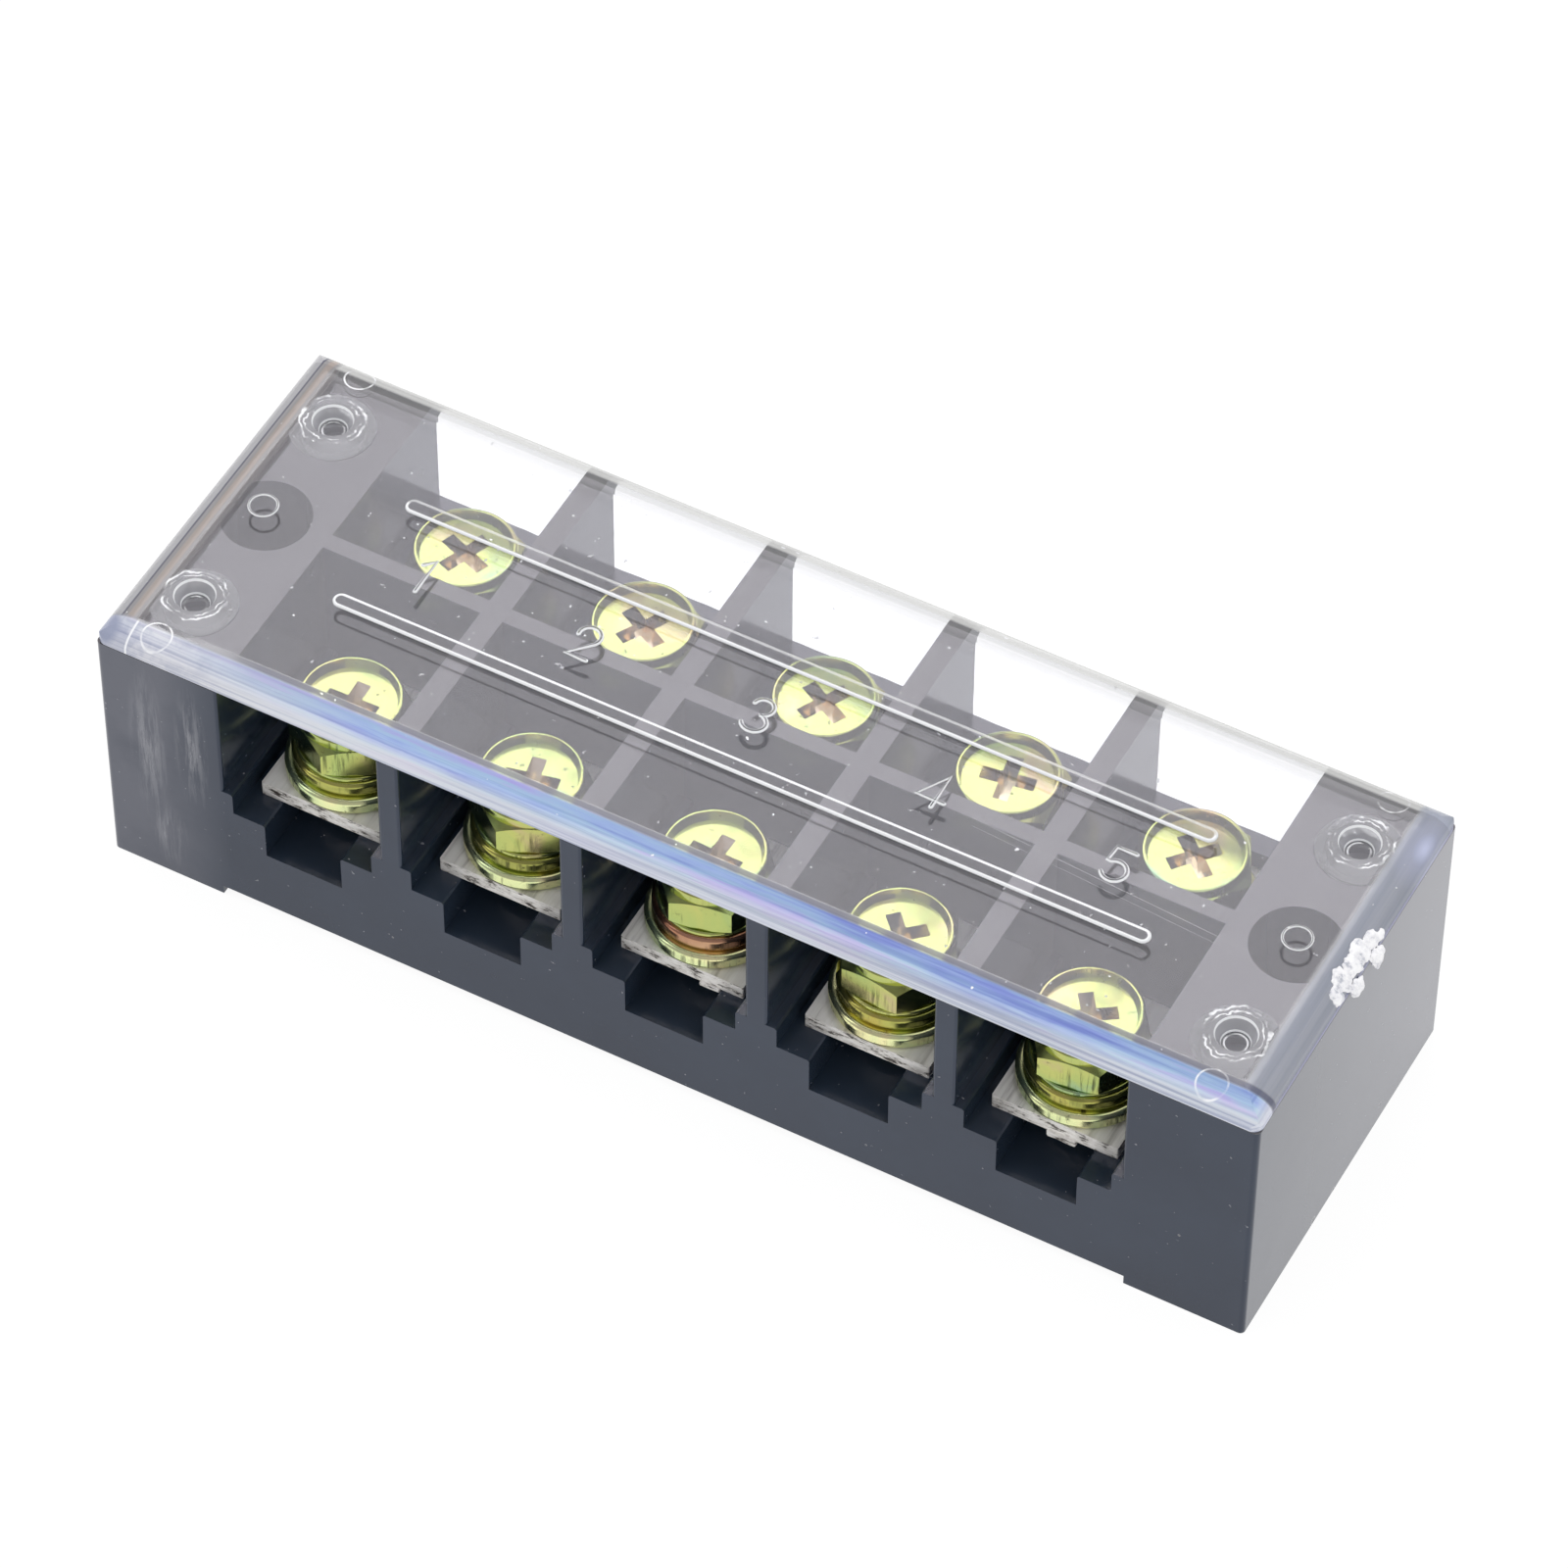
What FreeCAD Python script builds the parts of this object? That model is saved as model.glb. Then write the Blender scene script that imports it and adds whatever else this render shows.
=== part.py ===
import math
import os

import FreeCAD
import Part

# Five-pole barrier terminal strip with a clear push-on cover, in millimetres.
# X runs along the strip, -Y is the wiring front with the stepped plate slots,
# +Z is up. The origin is the middle of the footprint on the mounting plane.

# moulded housing
pole_count = 5
cell_width = 19.2
barrier_thickness = 2.65
end_block_length = 14.7
housing_depth = 46.0
housing_height = 33.5
housing_corner_radius = 0.6
barrier_edge_radius = 0.35
centre_rib_thickness = 2.0
rear_sill_thickness = 2.5
rear_sill_height = 18.4
foot_length = 13.8
foot_height = 1.2

# stepped slot that each terminal plate slides into from the front
ledge_height = 17.4
channel_width = 17.0
channel_floor_height = 14.5
notch_width = 9.3
notch_end_clearance = 1.4
step_bevel = 0.2
rib_slot_clearance = 0.1

# panel mounting holes, one in each end block
mount_inset = 7.15
mount_well_diameter = 10.0
mount_well_floor_height = 9.7
mount_hole_diameter = 5.0

# terminal plate
plate_width = 14.6
plate_thickness = 1.8
plate_front_setback = 3.9
plate_rear_clearance = 0.3
plate_corner_radius = 0.15
flange_diameter = 8.4
flange_depth = 2.5
flange_taper = 0.35
tapped_bore_diameter = 6.0

# clamping screw and its two washers
screw_setback = 11.0
shank_diameter = 5.85
shank_below_flange = 1.7
shank_tip_chamfer = 0.7
shank_tip_clearance = 0.6
washer_diameter = 14.8
washer_thickness = 2.0
washer_bore_diameter = 6.5
washer_edge_radius = 0.6
spring_diameter = 13.2
spring_thickness = 1.9
spring_edge_radius = 0.55
spring_gap = 1.3
spring_gap_slant = 24.0
head_across_flats = 11.7
head_height = 5.8
head_base_diameter = 11.4
head_chamfer_angle = 30.0
head_rim_diameter = 11.5
head_rim_height = 1.2
head_rim_edge_radius = 0.35
dish_mouth_diameter = 10.5
dish_floor_diameter = 9.8
dish_depth = 1.1
head_collar_diameter = 12.4
head_collar_height = 0.65
head_collar_edge_radius = 0.25
recess_span = 6.0
recess_arm_width = 1.65
recess_depth = 2.0
recess_floor_span = 2.9
recess_floor_width = 1.2

# cover
cover_thickness = 2.4
cover_seat_gap = 0.1
cover_edge_inset = 3.7
cover_edge_land = 0.5
cover_corner_radius = 1.2
peg_inset = 7.0
peg_setback = 8.8
peg_root_diameter = 7.2
peg_tip_diameter = 6.4
peg_length = 5.5
peg_tip_chamfer = 0.5
dimple_top_diameter = 4.6
dimple_floor_diameter = 3.0
dimple_depth = 1.6
socket_clearance = 0.1
socket_extra_depth = 1.5
socket_lead_in = 1.0
bead_offset = 7.55
bead_width = 1.9
bead_height = 0.3
bead_end_inset = 20.0
bead_edge_radius = 0.28
ejector_mark_diameter = 3.4
ejector_mark_depth = 0.15
ejector_mark_inset = 6.4
ejector_mark_setback = 2.1

# turn of each hexagon and of each cross recess, in degrees, left to right
front_head_turns = [31.0, 26.0, 14.0, 55.0, 6.0]
rear_head_turns = [44.0, 41.0, 46.0, 32.0, 57.0]
front_recess_turns = [2.0, 12.0, -2.0, 43.0, 35.0]
rear_recess_turns = [-21.0, -29.0, -28.0, 10.0, -41.0]
spring_gap_turns = [115.0, 70.0, 160.0, 205.0, 95.0]

pole_pitch = cell_width + barrier_thickness
barrier_count = pole_count - 1
strip_length = pole_count * cell_width + barrier_count * barrier_thickness + 2 * end_block_length
half_length = strip_length / 2
half_depth = housing_depth / 2
half_rib = centre_rib_thickness / 2
sill_inner_y = half_depth - rear_sill_thickness
screw_offset = half_depth - screw_setback
peg_offset = half_depth - peg_setback
plate_top_height = channel_floor_height + plate_thickness
shank_tip_height = channel_floor_height - flange_depth - shank_below_flange
notch_floor_height = shank_tip_height - shank_tip_clearance
spring_seat_height = plate_top_height + washer_thickness
head_seat_height = spring_seat_height + spring_thickness
head_corner_radius = head_across_flats / math.sqrt(3)
cover_bottom_height = housing_height + cover_seat_gap
cover_top_height = cover_bottom_height + cover_thickness
margin = 1.0


def pole_x(pole):
    return (pole - (pole_count - 1) / 2) * pole_pitch


def vector(x, y, z):
    return FreeCAD.Vector(x, y, z)


def block(x_low, x_high, y_low, y_high, z_low, z_high):
    corner = vector(x_low, y_low, z_low)
    return Part.makeBox(x_high - x_low, y_high - y_low, z_high - z_low, corner)


def post(diameter, z_low, z_high, x=0.0, y=0.0):
    return Part.makeCylinder(diameter / 2, z_high - z_low, vector(x, y, z_low))


def rounded_post(diameter, z_low, z_high, radius):
    # cylinder whose upper edge is rounded
    solid = post(diameter, z_low, z_high)
    rims = [edge for edge in solid.Edges if is_round(edge) and edge.BoundBox.ZMin > z_high - 0.01]
    return solid.makeFillet(radius, rims)


def turned(outline, x=0.0, y=0.0):
    # outline holds (radius, height) pairs of a closed half section
    points = [vector(radius, 0, height) for radius, height in outline]
    section = Part.Face(Part.makePolygon(points + points[:1]))
    solid = section.revolve(vector(0, 0, 0), vector(0, 0, 1), 360)
    solid.translate(vector(x, y, 0))
    return solid


def slab(length, width, radius, z_low, z_high, x=0.0, y=0.0):
    # rectangular plate with rounded upright corners
    solid = block(x - length / 2, x + length / 2, y - width / 2, y + width / 2, z_low, z_high)
    uprights = [edge for edge in solid.Edges if is_upright(edge)]
    return solid.makeFillet(radius, uprights)


def is_upright(edge):
    start = edge.Vertexes[0].Point
    end = edge.Vertexes[-1].Point
    return abs(start.x - end.x) < 1e-6 and abs(start.y - end.y) < 1e-6 and abs(start.z - end.z) > 1e-6


def front_cell_cut(x):
    # the whole stepped opening, from the open front to the centre rib
    half_cell = cell_width / 2
    half_channel = channel_width / 2
    half_notch = notch_width / 2
    top = housing_height + margin
    half_section = [
        (half_cell, top),
        (half_cell, ledge_height),
        (half_channel + step_bevel, ledge_height),
        (half_channel, ledge_height - step_bevel),
        (half_channel, channel_floor_height),
        (half_notch + step_bevel, channel_floor_height),
        (half_notch, channel_floor_height - step_bevel),
        (half_notch, notch_floor_height),
    ]
    mirrored = [(-across, up) for across, up in reversed(half_section)]
    start = -half_depth - margin
    points = [vector(x + across, start, up) for across, up in half_section + mirrored]
    face = Part.Face(Part.makePolygon(points + points[:1]))
    return face.extrude(vector(0, -half_rib - start, 0))


def rear_cell_cuts(x):
    # closed behind up to the sill, open above it
    half_cell = cell_width / 2
    half_channel = channel_width / 2
    top = housing_height + margin
    window_start = sill_inner_y - margin
    window_end = half_depth + margin
    channel_top = ledge_height + margin
    room = block(x - half_cell, x + half_cell, half_rib, sill_inner_y, ledge_height, top)
    window = block(x - half_cell, x + half_cell, window_start, window_end, rear_sill_height, top)
    channel = block(
        x - half_channel,
        x + half_channel,
        half_rib,
        sill_inner_y,
        channel_floor_height,
        channel_top,
    )
    return [room, window, channel]


def through_rib_cuts(x):
    # snug slot for the plate and a notch for its rear flange
    half_slot = plate_width / 2 + rib_slot_clearance
    slot_top = plate_top_height + rib_slot_clearance
    start = -half_rib - margin
    end = half_rib + margin
    slot = block(x - half_slot, x + half_slot, start, end, channel_floor_height, slot_top)
    notch_end = screw_offset + flange_diameter / 2 + notch_end_clearance
    notch = block(
        x - notch_width / 2,
        x + notch_width / 2,
        start,
        notch_end,
        notch_floor_height,
        channel_floor_height + margin / 2,
    )
    return [slot, notch]


def mount_hole_cut(x):
    well = post(mount_well_diameter, mount_well_floor_height, housing_height + margin, x)
    hole = post(mount_hole_diameter, -margin, mount_well_floor_height + margin, x)
    return well.fuse(hole)


def peg_socket_cut(x, y):
    radius = peg_root_diameter / 2 + socket_clearance
    floor = housing_height - peg_length - socket_extra_depth
    outline = [
        (0, floor),
        (radius, floor),
        (radius, housing_height - socket_lead_in),
        (radius + socket_lead_in, housing_height),
        (radius + socket_lead_in, housing_height + margin),
        (0, housing_height + margin),
    ]
    return turned(outline, x, y)


def peg_places():
    across = half_length - peg_inset
    return [(x, y) for x in (-across, across) for y in (-peg_offset, peg_offset)]


def is_barrier_edge(edge):
    # upright edges where the cell walls meet the open front and rear
    place = edge.CenterOfMass
    on_face = abs(abs(place.y) - half_depth) < 0.01
    on_end = abs(abs(place.x) - half_length) < housing_corner_radius + 0.01
    return is_upright(edge) and on_face and not on_end and place.z > rear_sill_height


def make_housing():
    housing = slab(strip_length, housing_depth, housing_corner_radius, 0, housing_height)
    relief_end = half_length - foot_length
    cuts = [block(-relief_end, relief_end, -half_depth - margin, half_depth + margin, -margin, foot_height)]
    for pole in range(pole_count):
        x = pole_x(pole)
        cuts.append(front_cell_cut(x))
        cuts.extend(rear_cell_cuts(x))
        cuts.extend(through_rib_cuts(x))
    for side in (-1, 1):
        cuts.append(mount_hole_cut(side * (half_length - mount_inset)))
    for x, y in peg_places():
        cuts.append(peg_socket_cut(x, y))
    housing = housing.cut(cuts).removeSplitter()
    edges = [edge for edge in housing.Edges if is_barrier_edge(edge)]
    return housing.makeFillet(barrier_edge_radius, edges)


def edge_profile(half_span):
    # flat-topped section whose upper corners are quarter ellipses
    rise = cover_thickness - cover_edge_land
    flat_end = half_span - cover_edge_inset
    low_left = vector(-half_span, 0, 0)
    low_right = vector(half_span, 0, 0)
    land_right = vector(half_span, cover_edge_land, 0)
    land_left = vector(-half_span, cover_edge_land, 0)
    top_right = vector(flat_end, cover_thickness, 0)
    top_left = vector(-flat_end, cover_thickness, 0)
    right_oval = Part.Ellipse(vector(flat_end, cover_edge_land, 0), cover_edge_inset, rise)
    left_oval = Part.Ellipse(vector(-flat_end, cover_edge_land, 0), cover_edge_inset, rise)
    edges = [
        Part.makeLine(low_left, low_right),
        Part.makeLine(low_right, land_right),
        Part.ArcOfEllipse(right_oval, 0, math.pi / 2).toShape(),
        Part.makeLine(top_right, top_left),
        Part.ArcOfEllipse(left_oval, math.pi / 2, math.pi).toShape(),
        Part.makeLine(land_left, low_left),
    ]
    return Part.Face(Part.Wire(edges))


def cover_slab():
    # two crossing prisms give all four edges the same rounded profile
    along = edge_profile(half_depth).extrude(vector(0, 0, strip_length))
    along.translate(vector(0, 0, -half_length))
    along.rotate(vector(0, 0, 0), vector(1, 1, 1), 120)
    across = edge_profile(half_length).extrude(vector(0, 0, housing_depth))
    across.translate(vector(0, 0, -half_depth))
    across.rotate(vector(0, 0, 0), vector(1, 0, 0), 90)
    outline = slab(strip_length, housing_depth, cover_corner_radius, -margin, cover_thickness + margin)
    plate = along.common(across).common(outline)
    plate.translate(vector(0, 0, cover_bottom_height))
    return plate


def cover_peg(x, y):
    tip = cover_bottom_height - peg_length
    outline = [
        (0, tip),
        (peg_tip_diameter / 2 - peg_tip_chamfer, tip),
        (peg_tip_diameter / 2, tip + peg_tip_chamfer),
        (peg_root_diameter / 2, cover_bottom_height),
        (peg_root_diameter / 2, cover_bottom_height + cover_edge_land),
        (0, cover_bottom_height + cover_edge_land),
    ]
    return turned(outline, x, y)


def peg_dimple_cut(x, y):
    # the round sink left in the cover's top over each peg
    floor = cover_top_height - dimple_depth
    outline = [
        (0, floor),
        (dimple_floor_diameter / 2, floor),
        (dimple_top_diameter / 2, cover_top_height),
        (dimple_top_diameter / 2, cover_top_height + margin),
        (0, cover_top_height + margin),
    ]
    return turned(outline, x, y)


def cover_bead(y):
    # long raised bar with round ends and a softened top edge
    low = cover_top_height - bead_height
    high = cover_top_height + bead_height
    run = half_length - bead_end_inset - bead_width / 2
    bar = block(-run, run, y - bead_width / 2, y + bead_width / 2, low, high)
    ends = [post(bead_width, low, high, side * run, y) for side in (-1, 1)]
    bead = bar.fuse(ends).removeSplitter()
    rim = [edge for edge in bead.Edges if abs(edge.BoundBox.ZMin - high) < 1e-6]
    return bead.makeFillet(bead_edge_radius, rim)


def ejector_mark_cuts():
    # shallow round marks under the four corners
    across = half_length - ejector_mark_inset
    out = half_depth - ejector_mark_setback
    low = cover_bottom_height - margin
    high = cover_bottom_height + ejector_mark_depth
    places = [(x, y) for x in (-across, across) for y in (-out, out)]
    return [post(ejector_mark_diameter, low, high, x, y) for x, y in places]


def make_cover():
    cover = cover_slab()
    cover = cover.fuse([cover_peg(x, y) for x, y in peg_places()])
    cover = cover.fuse([cover_bead(side * bead_offset) for side in (-1, 1)])
    cover = cover.cut([peg_dimple_cut(x, y) for x, y in peg_places()] + ejector_mark_cuts())
    return cover.removeSplitter()


def plate_flange(x, y):
    # the metal drawn down around a tapped hole
    low = channel_floor_height - flange_depth
    outline = [
        (0, low),
        (flange_diameter / 2 - flange_taper, low),
        (flange_diameter / 2, channel_floor_height),
        (flange_diameter / 2, channel_floor_height + plate_thickness / 2),
        (0, channel_floor_height + plate_thickness / 2),
    ]
    return turned(outline, x, y)


def make_terminal_plate(pole):
    x = pole_x(pole)
    y_low = -half_depth + plate_front_setback
    y_high = sill_inner_y - plate_rear_clearance
    middle = (y_low + y_high) / 2
    plate = slab(
        plate_width,
        y_high - y_low,
        plate_corner_radius,
        channel_floor_height,
        plate_top_height,
        x,
        middle,
    )
    rows = (-screw_offset, screw_offset)
    plate = plate.fuse([plate_flange(x, y) for y in rows])
    low = channel_floor_height - flange_depth - margin
    return plate.cut([post(tapped_bore_diameter, low, plate_top_height + margin, x, y) for y in rows])


def make_washer(x, y):
    inner = washer_bore_diameter / 2
    outer = washer_diameter / 2
    ring = turned(
        [
            (inner, plate_top_height),
            (outer, plate_top_height),
            (outer, spring_seat_height),
            (inner, spring_seat_height),
        ]
    )
    rims = [edge for edge in ring.Edges if edge.BoundBox.XMax > outer - 0.01 and is_round(edge)]
    ring = ring.makeFillet(washer_edge_radius, rims)
    ring.translate(vector(x, y, 0))
    return ring


def is_round(edge):
    return edge.BoundBox.ZLength < 1e-6


def make_spring_washer(x, y, gap_turn):
    inner = washer_bore_diameter / 2
    outer = spring_diameter / 2
    ring = turned(
        [
            (inner, spring_seat_height),
            (outer, spring_seat_height),
            (outer, head_seat_height),
            (inner, head_seat_height),
        ]
    )
    rims = [edge for edge in ring.Edges if edge.BoundBox.XMax > outer - 0.01 and is_round(edge)]
    ring = ring.makeFillet(spring_edge_radius, rims)
    middle = (spring_seat_height + head_seat_height) / 2
    half_gap = spring_gap / 2
    reach = spring_thickness * 2
    gap = block(0, outer + margin, -half_gap, half_gap, -reach, reach)
    gap.rotate(vector(0, 0, 0), vector(1, 0, 0), spring_gap_slant)
    gap.translate(vector(0, 0, middle))
    gap.rotate(vector(0, 0, 0), vector(0, 0, 1), gap_turn)
    ring = ring.cut(gap)
    ring.translate(vector(x, y, 0))
    return ring


def hexagon_prism(z_low, z_high, turn):
    radius = head_corner_radius
    angles = [math.radians(turn + 60 * step) for step in range(6)]
    points = [vector(radius * math.cos(angle), radius * math.sin(angle), z_low) for angle in angles]
    face = Part.Face(Part.makePolygon(points + points[:1]))
    return face.extrude(vector(0, 0, z_high - z_low))


def recess_arm(top, turn):
    # flat-sided wedge, narrower at the floor of the recess
    half_top = recess_span / 2
    half_floor = recess_floor_span / 2
    arm = Part.makeWedge(
        -half_floor,
        0,
        -recess_floor_width / 2,
        -recess_arm_width / 2,
        -half_top,
        half_floor,
        recess_depth,
        recess_floor_width / 2,
        recess_arm_width / 2,
        half_top,
    )
    arm.rotate(vector(0, 0, 0), vector(1, 0, 0), 90)
    arm.translate(vector(0, 0, top - recess_depth))
    arm.rotate(vector(0, 0, 0), vector(0, 0, 1), turn)
    return arm


def make_screw(x, y, head_turn, recess_turn):
    top = head_seat_height + head_height
    shoulder = top - head_rim_height
    dish_floor = top - dish_depth
    collar_top = head_seat_height + head_collar_height
    reach = head_corner_radius + margin
    slope = math.tan(math.radians(head_chamfer_angle))
    rise = (reach - head_base_diameter / 2) * slope
    drop = (reach - head_rim_diameter / 2) * slope
    # both ends of the hexagon are cut back by a cone
    crown = turned(
        [
            (0, collar_top),
            (head_base_diameter / 2, collar_top),
            (reach, collar_top + rise),
            (reach, shoulder - drop),
            (head_rim_diameter / 2, shoulder),
            (0, shoulder),
        ]
    )
    head = hexagon_prism(collar_top, shoulder, head_turn).common(crown)
    # a round rim stands on the hexagon and encloses the dished top
    rim = rounded_post(head_rim_diameter, shoulder, top, head_rim_edge_radius)
    dish = turned(
        [
            (0, dish_floor),
            (dish_floor_diameter / 2, dish_floor),
            (dish_mouth_diameter / 2, top),
            (dish_mouth_diameter / 2, top + margin),
            (0, top + margin),
        ]
    )
    stem = turned(
        [
            (0, shank_tip_height),
            (shank_diameter / 2 - shank_tip_chamfer, shank_tip_height),
            (shank_diameter / 2, shank_tip_height + shank_tip_chamfer),
            (shank_diameter / 2, head_seat_height),
            (head_collar_diameter / 2, head_seat_height),
            (head_collar_diameter / 2, collar_top),
            (0, collar_top),
        ]
    )
    collar_reach = head_collar_diameter / 2 - 0.01
    rims = [edge for edge in stem.Edges if is_round(edge) and edge.BoundBox.XMax > collar_reach]
    stem = stem.makeFillet(head_collar_edge_radius, rims)
    screw = stem.fuse([head, rim]).cut(dish)
    screw = screw.cut([recess_arm(dish_floor, recess_turn + turn) for turn in (0, 90)])
    screw.translate(vector(x, y, 0))
    return screw.removeSplitter()


def save(shape, node):
    shape.exportStep(os.path.join("parts", node + ".step"))
    print(node, "solids", len(shape.Solids), "valid", shape.isValid(), "volume", round(shape.Volume, 1))


def main():
    os.makedirs("parts", exist_ok=True)
    save(make_housing(), "base_housing")
    save(make_cover(), "clear_cover")
    rows = (
        ("front", -screw_offset, front_head_turns, front_recess_turns),
        ("rear", screw_offset, rear_head_turns, rear_recess_turns),
    )
    for pole in range(pole_count):
        number = str(pole + 1)
        x = pole_x(pole)
        save(make_terminal_plate(pole), "terminal_plate_" + number)
        for row, y, head_turns, recess_turns in rows:
            save(make_washer(x, y), row + "_flat_washer_" + number)
            save(make_spring_washer(x, y, spring_gap_turns[pole]), row + "_spring_washer_" + number)
            save(make_screw(x, y, head_turns[pole], recess_turns[pole]), row + "_screw_" + number)


main()
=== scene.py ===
import bpy
import math
from mathutils import Vector, Matrix, noise as lumpy


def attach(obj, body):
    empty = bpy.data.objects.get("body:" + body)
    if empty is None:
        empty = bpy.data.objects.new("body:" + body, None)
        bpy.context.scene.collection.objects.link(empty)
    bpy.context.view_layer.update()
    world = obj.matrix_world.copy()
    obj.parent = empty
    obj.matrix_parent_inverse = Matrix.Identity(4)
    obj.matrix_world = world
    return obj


# Clear-covered terminal strip: materials, small moulded details, camera and light.
# The CAD pieces come in at their real size in metres and stay where they are.
# Places and sizes in the dictionaries are in mm, but in metres for the camera,
# the floor and the lamps. A noise is (scale, detail, roughness), streaks have a
# stretch in place of the scale, a spread is (low, high, start, end), a bump is
# (strength, depth), and a spot is (middle, size, softness).

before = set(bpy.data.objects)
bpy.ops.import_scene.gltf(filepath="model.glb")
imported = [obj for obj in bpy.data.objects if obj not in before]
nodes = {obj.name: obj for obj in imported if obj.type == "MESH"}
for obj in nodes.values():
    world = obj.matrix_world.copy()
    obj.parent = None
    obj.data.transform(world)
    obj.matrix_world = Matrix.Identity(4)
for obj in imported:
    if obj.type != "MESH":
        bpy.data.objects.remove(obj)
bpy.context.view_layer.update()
poleCount = 5
print("terminal strip: frame loaded,", len(nodes), "CAD pieces")


def mm(value):
    return value / 1000


def mmPoint(values):
    return [mm(value) for value in values]


def dropSelection():
    if bpy.context.object and bpy.context.object.mode != "OBJECT":
        bpy.ops.object.mode_set(mode="OBJECT")
    bpy.ops.object.select_all(action="DESELECT")


def onlySelect(piece):
    dropSelection()
    piece.select_set(True)
    bpy.context.view_layer.objects.active = piece


def settle(piece):
    # place, turn and size go into the mesh, so the piece sits at the origin
    onlySelect(piece)
    bpy.ops.object.transform_apply(location=True, rotation=True, scale=True)
    return piece


# node shorthands

def startMaterial(name):
    mat = bpy.data.materials.new(name)
    mat.use_nodes = True
    tree = mat.node_tree
    return mat, tree, tree.nodes["Principled BSDF"], tree.nodes.new("ShaderNodeTexCoord")


def feed(tree, socket, value):
    if hasattr(value, "is_output"):
        tree.links.new(value, socket)
    elif isinstance(value, tuple) and len(value) == 3 and socket.type == "RGBA":
        socket.default_value = (*value, 1)
    else:
        socket.default_value = value


def mapped(tree, coords, stretch=(1, 1, 1)):
    mapping = tree.nodes.new("ShaderNodeMapping")
    mapping.inputs["Scale"].default_value = stretch
    tree.links.new(coords.outputs["Object"], mapping.inputs["Vector"])
    return mapping.outputs["Vector"]


def noise(tree, vector, scale, detail=3.0, roughness=0.5, distortion=0.0):
    tex = tree.nodes.new("ShaderNodeTexNoise")
    tex.inputs["Scale"].default_value = scale
    tex.inputs["Detail"].default_value = detail
    tex.inputs["Roughness"].default_value = roughness
    tex.inputs["Distortion"].default_value = distortion
    tree.links.new(vector, tex.inputs["Vector"])
    return tex.outputs["Fac"]


def streaks(tree, coords, stretch, detail, roughness):
    # noise drawn out along an axis: the smaller its stretch, the longer the streaks
    return noise(tree, mapped(tree, coords, stretch), 1.0, detail, roughness)


def ramp(tree, value, stops):
    band = tree.nodes.new("ShaderNodeValToRGB")
    elements = band.color_ramp.elements
    while len(elements) < len(stops):
        elements.new(0.5)
    for element, (place, color) in zip(elements, stops):
        element.position = place
        element.color = (*color, 1)
    tree.links.new(value, band.inputs["Fac"])
    return band.outputs["Color"]


def spread(tree, value, low, high, start=0.0, end=1.0):
    # value going from start to end becomes low to high, and stays within them
    scaled = tree.nodes.new("ShaderNodeMapRange")
    scaled.inputs["From Min"].default_value = start
    scaled.inputs["From Max"].default_value = end
    scaled.inputs["To Min"].default_value = low
    scaled.inputs["To Max"].default_value = high
    tree.links.new(value, scaled.inputs["Value"])
    return scaled.outputs["Result"]


def patchy(tree, vector, look):
    # noise with its middle values spread out, so that it turns into patches
    return spread(tree, noise(tree, vector, *look["noise"]), *look["spread"])


def drawn(tree, coords, look):
    # the same for streaks
    return spread(tree, streaks(tree, coords, *look["streaks"]), *look["spread"])


def rising(tree, value, start, end):
    # 0 up to one place and 1 past the other, both in mm
    return spread(tree, value, 0.0, 1.0, mm(start), mm(end))


def falling(tree, value, start, end):
    return spread(tree, value, 1.0, 0.0, mm(start), mm(end))


def maths(tree, kind, first, second=0.5, third=0.5):
    step = tree.nodes.new("ShaderNodeMath")
    step.operation = kind
    feed(tree, step.inputs[0], first)
    feed(tree, step.inputs[1], second)
    feed(tree, step.inputs[2], third)
    return step.outputs[0]


def times(tree, first, *others):
    for other in others:
        first = maths(tree, "MULTIPLY", first, other)
    return first


def most(tree, first, *others):
    # the strongest of several masks
    for other in others:
        first = maths(tree, "MAXIMUM", first, other)
    return first


def plus(tree, first, second):
    return maths(tree, "ADD", first, second)


def minus(tree, first, second):
    return maths(tree, "SUBTRACT", first, second)


def unsigned(tree, value):
    return maths(tree, "ABSOLUTE", value)


def above(tree, value, limit):
    return maths(tree, "GREATER_THAN", value, limit)


def below(tree, value, limit):
    return maths(tree, "LESS_THAN", value, limit)


def between(tree, value, low, high):
    # 1 where the value lies between two places given in mm
    return times(tree, above(tree, value, mm(low)), below(tree, value, mm(high)))


def offPair(tree, value, place):
    # signed way from a place that is mirrored about the middle
    return minus(tree, unsigned(tree, value), mm(place))


def flatDistance(tree, acrossX, acrossY):
    squares = plus(tree, times(tree, acrossX, acrossX), times(tree, acrossY, acrossY))
    return maths(tree, "SQRT", squares)


def axes(tree, vector):
    parts = tree.nodes.new("ShaderNodeSeparateXYZ")
    tree.links.new(vector, parts.inputs[0])
    return parts.outputs


def blendColor(tree, factor, first, second, kind="MIX"):
    mix = tree.nodes.new("ShaderNodeMix")
    mix.data_type = "RGBA"
    mix.blend_type = kind
    feed(tree, mix.inputs["Factor"], factor)
    feed(tree, mix.inputs[6], first)
    feed(tree, mix.inputs[7], second)
    return mix.outputs[2]


def tinted(tree, factor, color, tint):
    return blendColor(tree, factor, color, tint, "MULTIPLY")


def bumpFrom(tree, height, strength, distance, under=None):
    bump = tree.nodes.new("ShaderNodeBump")
    bump.inputs["Strength"].default_value = strength
    bump.inputs["Distance"].default_value = mm(distance)
    tree.links.new(height, bump.inputs["Height"])
    if under is not None:
        tree.links.new(under, bump.inputs["Normal"])
    return bump.outputs["Normal"]


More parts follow.
